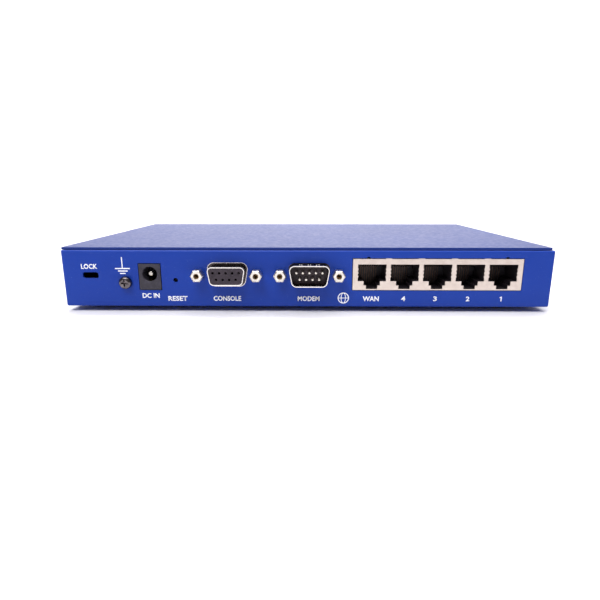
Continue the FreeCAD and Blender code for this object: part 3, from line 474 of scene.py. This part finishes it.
def d_points(x, z, width, height, radius):
    """D outline, wide side up, with leaning sides and rounded corners."""
    top = width / 2
    foot = top - height * math.tan(SIDE_LEAN)
    corners = [(-foot, -height / 2), (foot, -height / 2), (top, height / 2), (-top, height / 2)]
    points = []
    for index, corner in enumerate(corners):
        here = Vector(corner)
        back = (Vector(corners[index - 1]) - here).normalized()
        onward = (Vector(corners[(index + 1) % 4]) - here).normalized()
        half = back.angle(onward) / 2
        centre = here + (back + onward).normalized() * radius / math.sin(half)
        first = here + back * radius / math.tan(half) - centre
        last = here + onward * radius / math.tan(half) - centre
        turn = first.angle_signed(last)
        for step in range(CORNER_STEPS + 1):
            arm = first.copy()
            arm.rotate(Matrix.Rotation(-turn * step / CORNER_STEPS, 2))
            points.append((x + centre.x + arm.x, z + centre.y + arm.y))
    return points


# Middle line of the bright strip, a bare edge brightened as a painted highlight, a little outside
# the console cut-out.
EDGE_WIDTH = 18.2
EDGE_HEIGHT = 10.2
EDGE_CORNER = 2.7
EDGE_BREADTH = 0.28
EDGE_DEPTH = 0.03


def bare_edge_highlights():
    """Bright strip round the console socket: the bare punched edge of the sheet, made brighter as a
    painted highlight.
    """
    shape = bmesh.new()
    outline = d_points(CONSOLE_X, DSUB_LEVEL, EDGE_WIDTH, EDGE_HEIGHT, EDGE_CORNER)
    strip(shape, outline, EDGE_BREADTH, EDGE_DEPTH, True)
    mesh_piece("console_cutout_edge", shape, EDGE_AND_HIGHLIGHT)


# The rings widen and narrow in turn, from the jackscrew's mouth inwards.
THREAD_STARTS = -4.55
THREAD_STEP = 0.27
THREAD_RINGS = 19
THREAD_SIDES = 24
THREAD_ROOT = 1.17
THREAD_CREST = 0.95


def threads():
    """Fine rings down the bore of each jackscrew."""
    shape = bmesh.new()
    for x in [middle + offset for middle in (CONSOLE_X, MODEM_X) for offset in JACKSCREWS]:
        rings = []
        for step in range(THREAD_RINGS):
            radius = THREAD_ROOT if step % 2 else THREAD_CREST
            places = ring_points(x, DSUB_LEVEL, radius, radius, THREAD_SIDES)
            rings.append([shape.verts.new(at(across, THREAD_STARTS + step * THREAD_STEP, up))
                          for across, up in places])
        for first, second in zip(rings, rings[1:]):
            for index in range(THREAD_SIDES):
                following = (index + 1) % THREAD_SIDES
                shape.faces.new((first[index], second[index], second[following],
                                 first[following]))
        shape.faces.new(list(reversed(rings[-1])))
    mesh_piece("jackscrew_threads", shape, THREAD)


# Each dimple is a ball whose middle is sunk in the shell.
DIMPLE_RADIUS = 0.34
DIMPLE_SINK = 0.16
DIMPLE_DEPTH = -2.47
DIMPLE_PITCH = 3.6


def dimples():
    """Raised grip dimples on the top and bottom of the modem shell."""
    shape = bmesh.new()
    for up in (1, -1):
        for pair in (-1, 0, 1):
            for side in (-0.5, 0.5):
                bump = bmesh.ops.create_uvsphere(shape, u_segments=16, v_segments=8,
                                                 radius=DIMPLE_RADIUS / 1000)
                level = DSUB_LEVEL + up * (MODEM_SHELL_HEIGHT / 2 - DIMPLE_SINK)
                centre = at(MODEM_X + pair * DIMPLE_PITCH + side, DIMPLE_DEPTH, level)
                for vertex in bump["verts"]:
                    vertex.co += centre
    for face in shape.faces:
        face.smooth = True
    mesh_piece("modem_dimples", shape, NICKEL)


# ---- stage ----------------------------------------------------------------------------------


# The stage is in metres: flat from front to back, then a quarter circle up into a wall.
HALF_WIDTH = 6.0
FLOOR_ROWS = (-6.0, -1.6, 0.9)
CURVE_RADIUS = 0.5
CURVE_STEPS = 8
WALL_TOP = 2.6


def stage():
    """Pale floor that runs up into a pale backdrop."""
    paper = surface("pale_paper", (0.86, 0.85, 0.88), (0.90, 0.89, 0.91), (0.75, 0.9), patch=8.0,
                    grain=300.0, depth=0.00002)
    shape = bmesh.new()
    profile = [(y, 0.0) for y in FLOOR_ROWS]
    for step in range(1, CURVE_STEPS + 1):
        angle = math.radians(90 * step / CURVE_STEPS)
        profile.append((FLOOR_ROWS[-1] + CURVE_RADIUS * math.sin(angle),
                        CURVE_RADIUS - CURVE_RADIUS * math.cos(angle)))
    profile.append((FLOOR_ROWS[-1] + CURVE_RADIUS, WALL_TOP))
    rows = [[shape.verts.new((x, y, z)) for x in (-HALF_WIDTH, HALF_WIDTH)] for y, z in profile]
    for first, second in zip(rows, rows[1:]):
        shape.faces.new((first[0], first[1], second[1], second[0]))
    data = bpy.data.meshes.new("floor")
    shape.to_mesh(data)
    shape.free()
    data.materials.append(paper)
    for face in data.polygons:
        face.use_smooth = True
    floor = bpy.data.objects.new("floor", data)
    bpy.context.scene.collection.objects.link(floor)


def area_light(name, place, target, size, power):
    """Rectangular lamp at a place, in metres, turned to face a target."""
    data = bpy.data.lights.new(name, "AREA")
    data.shape = "RECTANGLE"
    data.size, data.size_y = size
    data.energy = power
    lamp = bpy.data.objects.new(name, data)
    lamp.location = place
    lamp.rotation_mode = "QUATERNION"
    lamp.rotation_quaternion = (Vector(target) - Vector(place)).to_track_quat("-Z", "Y")
    bpy.context.scene.collection.objects.link(lamp)


def lights():
    """Dim even surroundings, two soft boxes over the object and one on the backdrop."""
    world = bpy.data.worlds.new("studio")
    world.use_nodes = True
    background = world.node_tree.nodes["Background"]
    background.inputs["Color"].default_value = (0.97, 0.92, 1.0, 1.0)
    background.inputs["Strength"].default_value = 0.25
    bpy.context.scene.world = world
    area_light("key_softbox", (-0.35, -0.75, 1.25), (0, 0, 0), (0.9, 0.6), 17.0)
    area_light("top_softbox", (0.1, 0.2, 1.3), (0, 0.1, 0), (1.2, 0.8), 9.0)
    area_light("backdrop_light", (0.0, 0.35, 1.3), (0, 1.4, 0.35), (1.8, 0.5), 24.0)


# The eye stands just left of the panel's middle and above the lid. Its turns are in degrees.
EYE = (-0.61, -192.19, 50.63)
LOOKING_DOWN = 13.93
LOOKING_LEFT = 0.6525
LENS = 27.31


def camera():
    """The camera at the eye, turned down and slightly left."""
    data = bpy.data.cameras.new("camera")
    data.sensor_width = 36.0
    data.lens = LENS
    data.clip_start = 0.01
    eye = bpy.data.objects.new("camera", data)
    eye.location = at(*EYE)
    eye.rotation_euler = (math.radians(90 - LOOKING_DOWN), 0.0, math.radians(LOOKING_LEFT))
    bpy.context.scene.collection.objects.link(eye)
    bpy.context.scene.camera = eye


camera()
dress_cad_nodes()
port_legends()
bare_edge_highlights()
threads()
dimples()
stage()
lights()
bpy.context.scene.view_settings.view_transform = "Standard"
